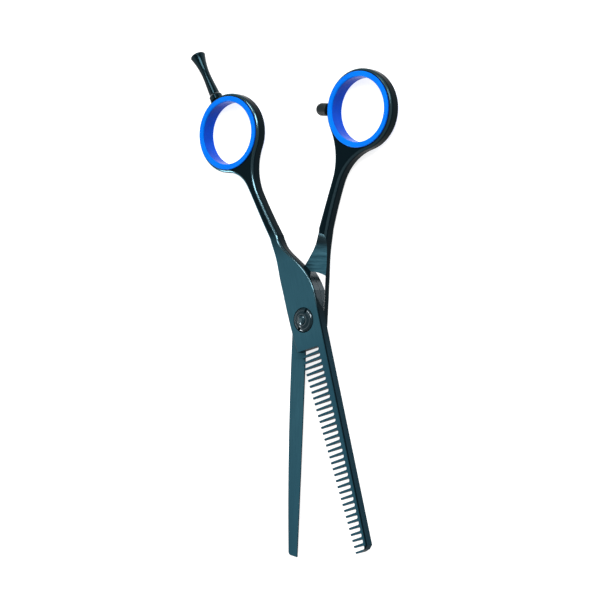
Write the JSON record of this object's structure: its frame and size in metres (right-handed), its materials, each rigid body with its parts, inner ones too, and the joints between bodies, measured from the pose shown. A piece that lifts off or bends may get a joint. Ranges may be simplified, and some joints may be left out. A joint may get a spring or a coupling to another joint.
{
  "type": "thinning shears",
  "caption": "Offset hairdressing thinning shears: a comb blade over a plain blade on an adjustable pivot, ringed handles with coloured inserts, a screwed finger rest and a rubber stop.",
  "frame": {"origin": "on the pivot axis, in the plane of the bolt head's back, which is the lowest plane of the shears lying on their back", "axes": "+Z along the pivot axis from the bolt head to the nut, +Y bisects the two handles and -Y the two blades, +X towards the thumb ring"},
  "size_m": [0.0802, 0.1639, 0.0075],
  "materials": {
    "steel_comb": "blue-black coated steel, finely brushed",
    "steel_plain": "blue-black coated steel with a bare polished ride",
    "blue_insert": "glossy moulded plastic",
    "bolt_black": "blackened, polished",
    "nut_black": "blackened, turned",
    "spring_steel": "bare spring steel",
    "nylon": "natural nylon",
    "rest_black": "glossy black coated",
    "rubber": "matt black rubber"
  },
  "bodies": {
    "thumb_half": {"plain_half": "steel_plain", "thumb_ring_insert": "blue_insert", "pivot_bolt": "bolt_black", "bumper_stud": "nut_black", "bumper_cap": "rubber"},
    "finger_half": {"comb_half": "steel_comb", "finger_ring_insert": "blue_insert", "pivot_bush": "nylon", "nylon_washer": "nylon"},
    "washer_body": {"spring_washer": "spring_steel"},
    "nut_body": {"tension_nut": "nut_black"},
    "rest_washer_body": {"finger_rest_washer": "nut_black"},
    "rest_body": {"finger_rest": "rest_black"}
  },
  "joints": [
    {"name": "pivot", "type": "hinge", "parent": "thumb_half", "child": "finger_half", "pos_m": [0, 0, 0.0031], "axis": [0, 0, 1], "range_deg": [-19, 71]},
    {"name": "nut_climb", "type": "slide", "parent": "thumb_half", "child": "washer_body", "axis": [0, 0, 1], "range_m": [0, 0.0015]},
    {"name": "nut_turn", "type": "hinge", "parent": "washer_body", "child": "nut_body", "pos_m": [0, 0, 0.006], "axis": [0, 0, 1], "range_deg": [0, 1085]},
    {"name": "rest_climb", "type": "slide", "parent": "finger_half", "child": "rest_washer_body", "axis": [-0.4147, 0.91, 0], "range_m": [0, 0.002]},
    {"name": "rest_turn", "type": "hinge", "parent": "rest_washer_body", "child": "rest_body", "pos_m": [-0.03183, 0.07403, 0.0029], "axis": [-0.4147, 0.91, 0], "range_deg": [0, 1445]}
  ],
  "couplings": [
    {"joint": "nut_turn", "follows": "nut_climb", "rad_per_m": 12566},
    {"joint": "rest_turn", "follows": "rest_climb", "rad_per_m": 12566}
  ]
}
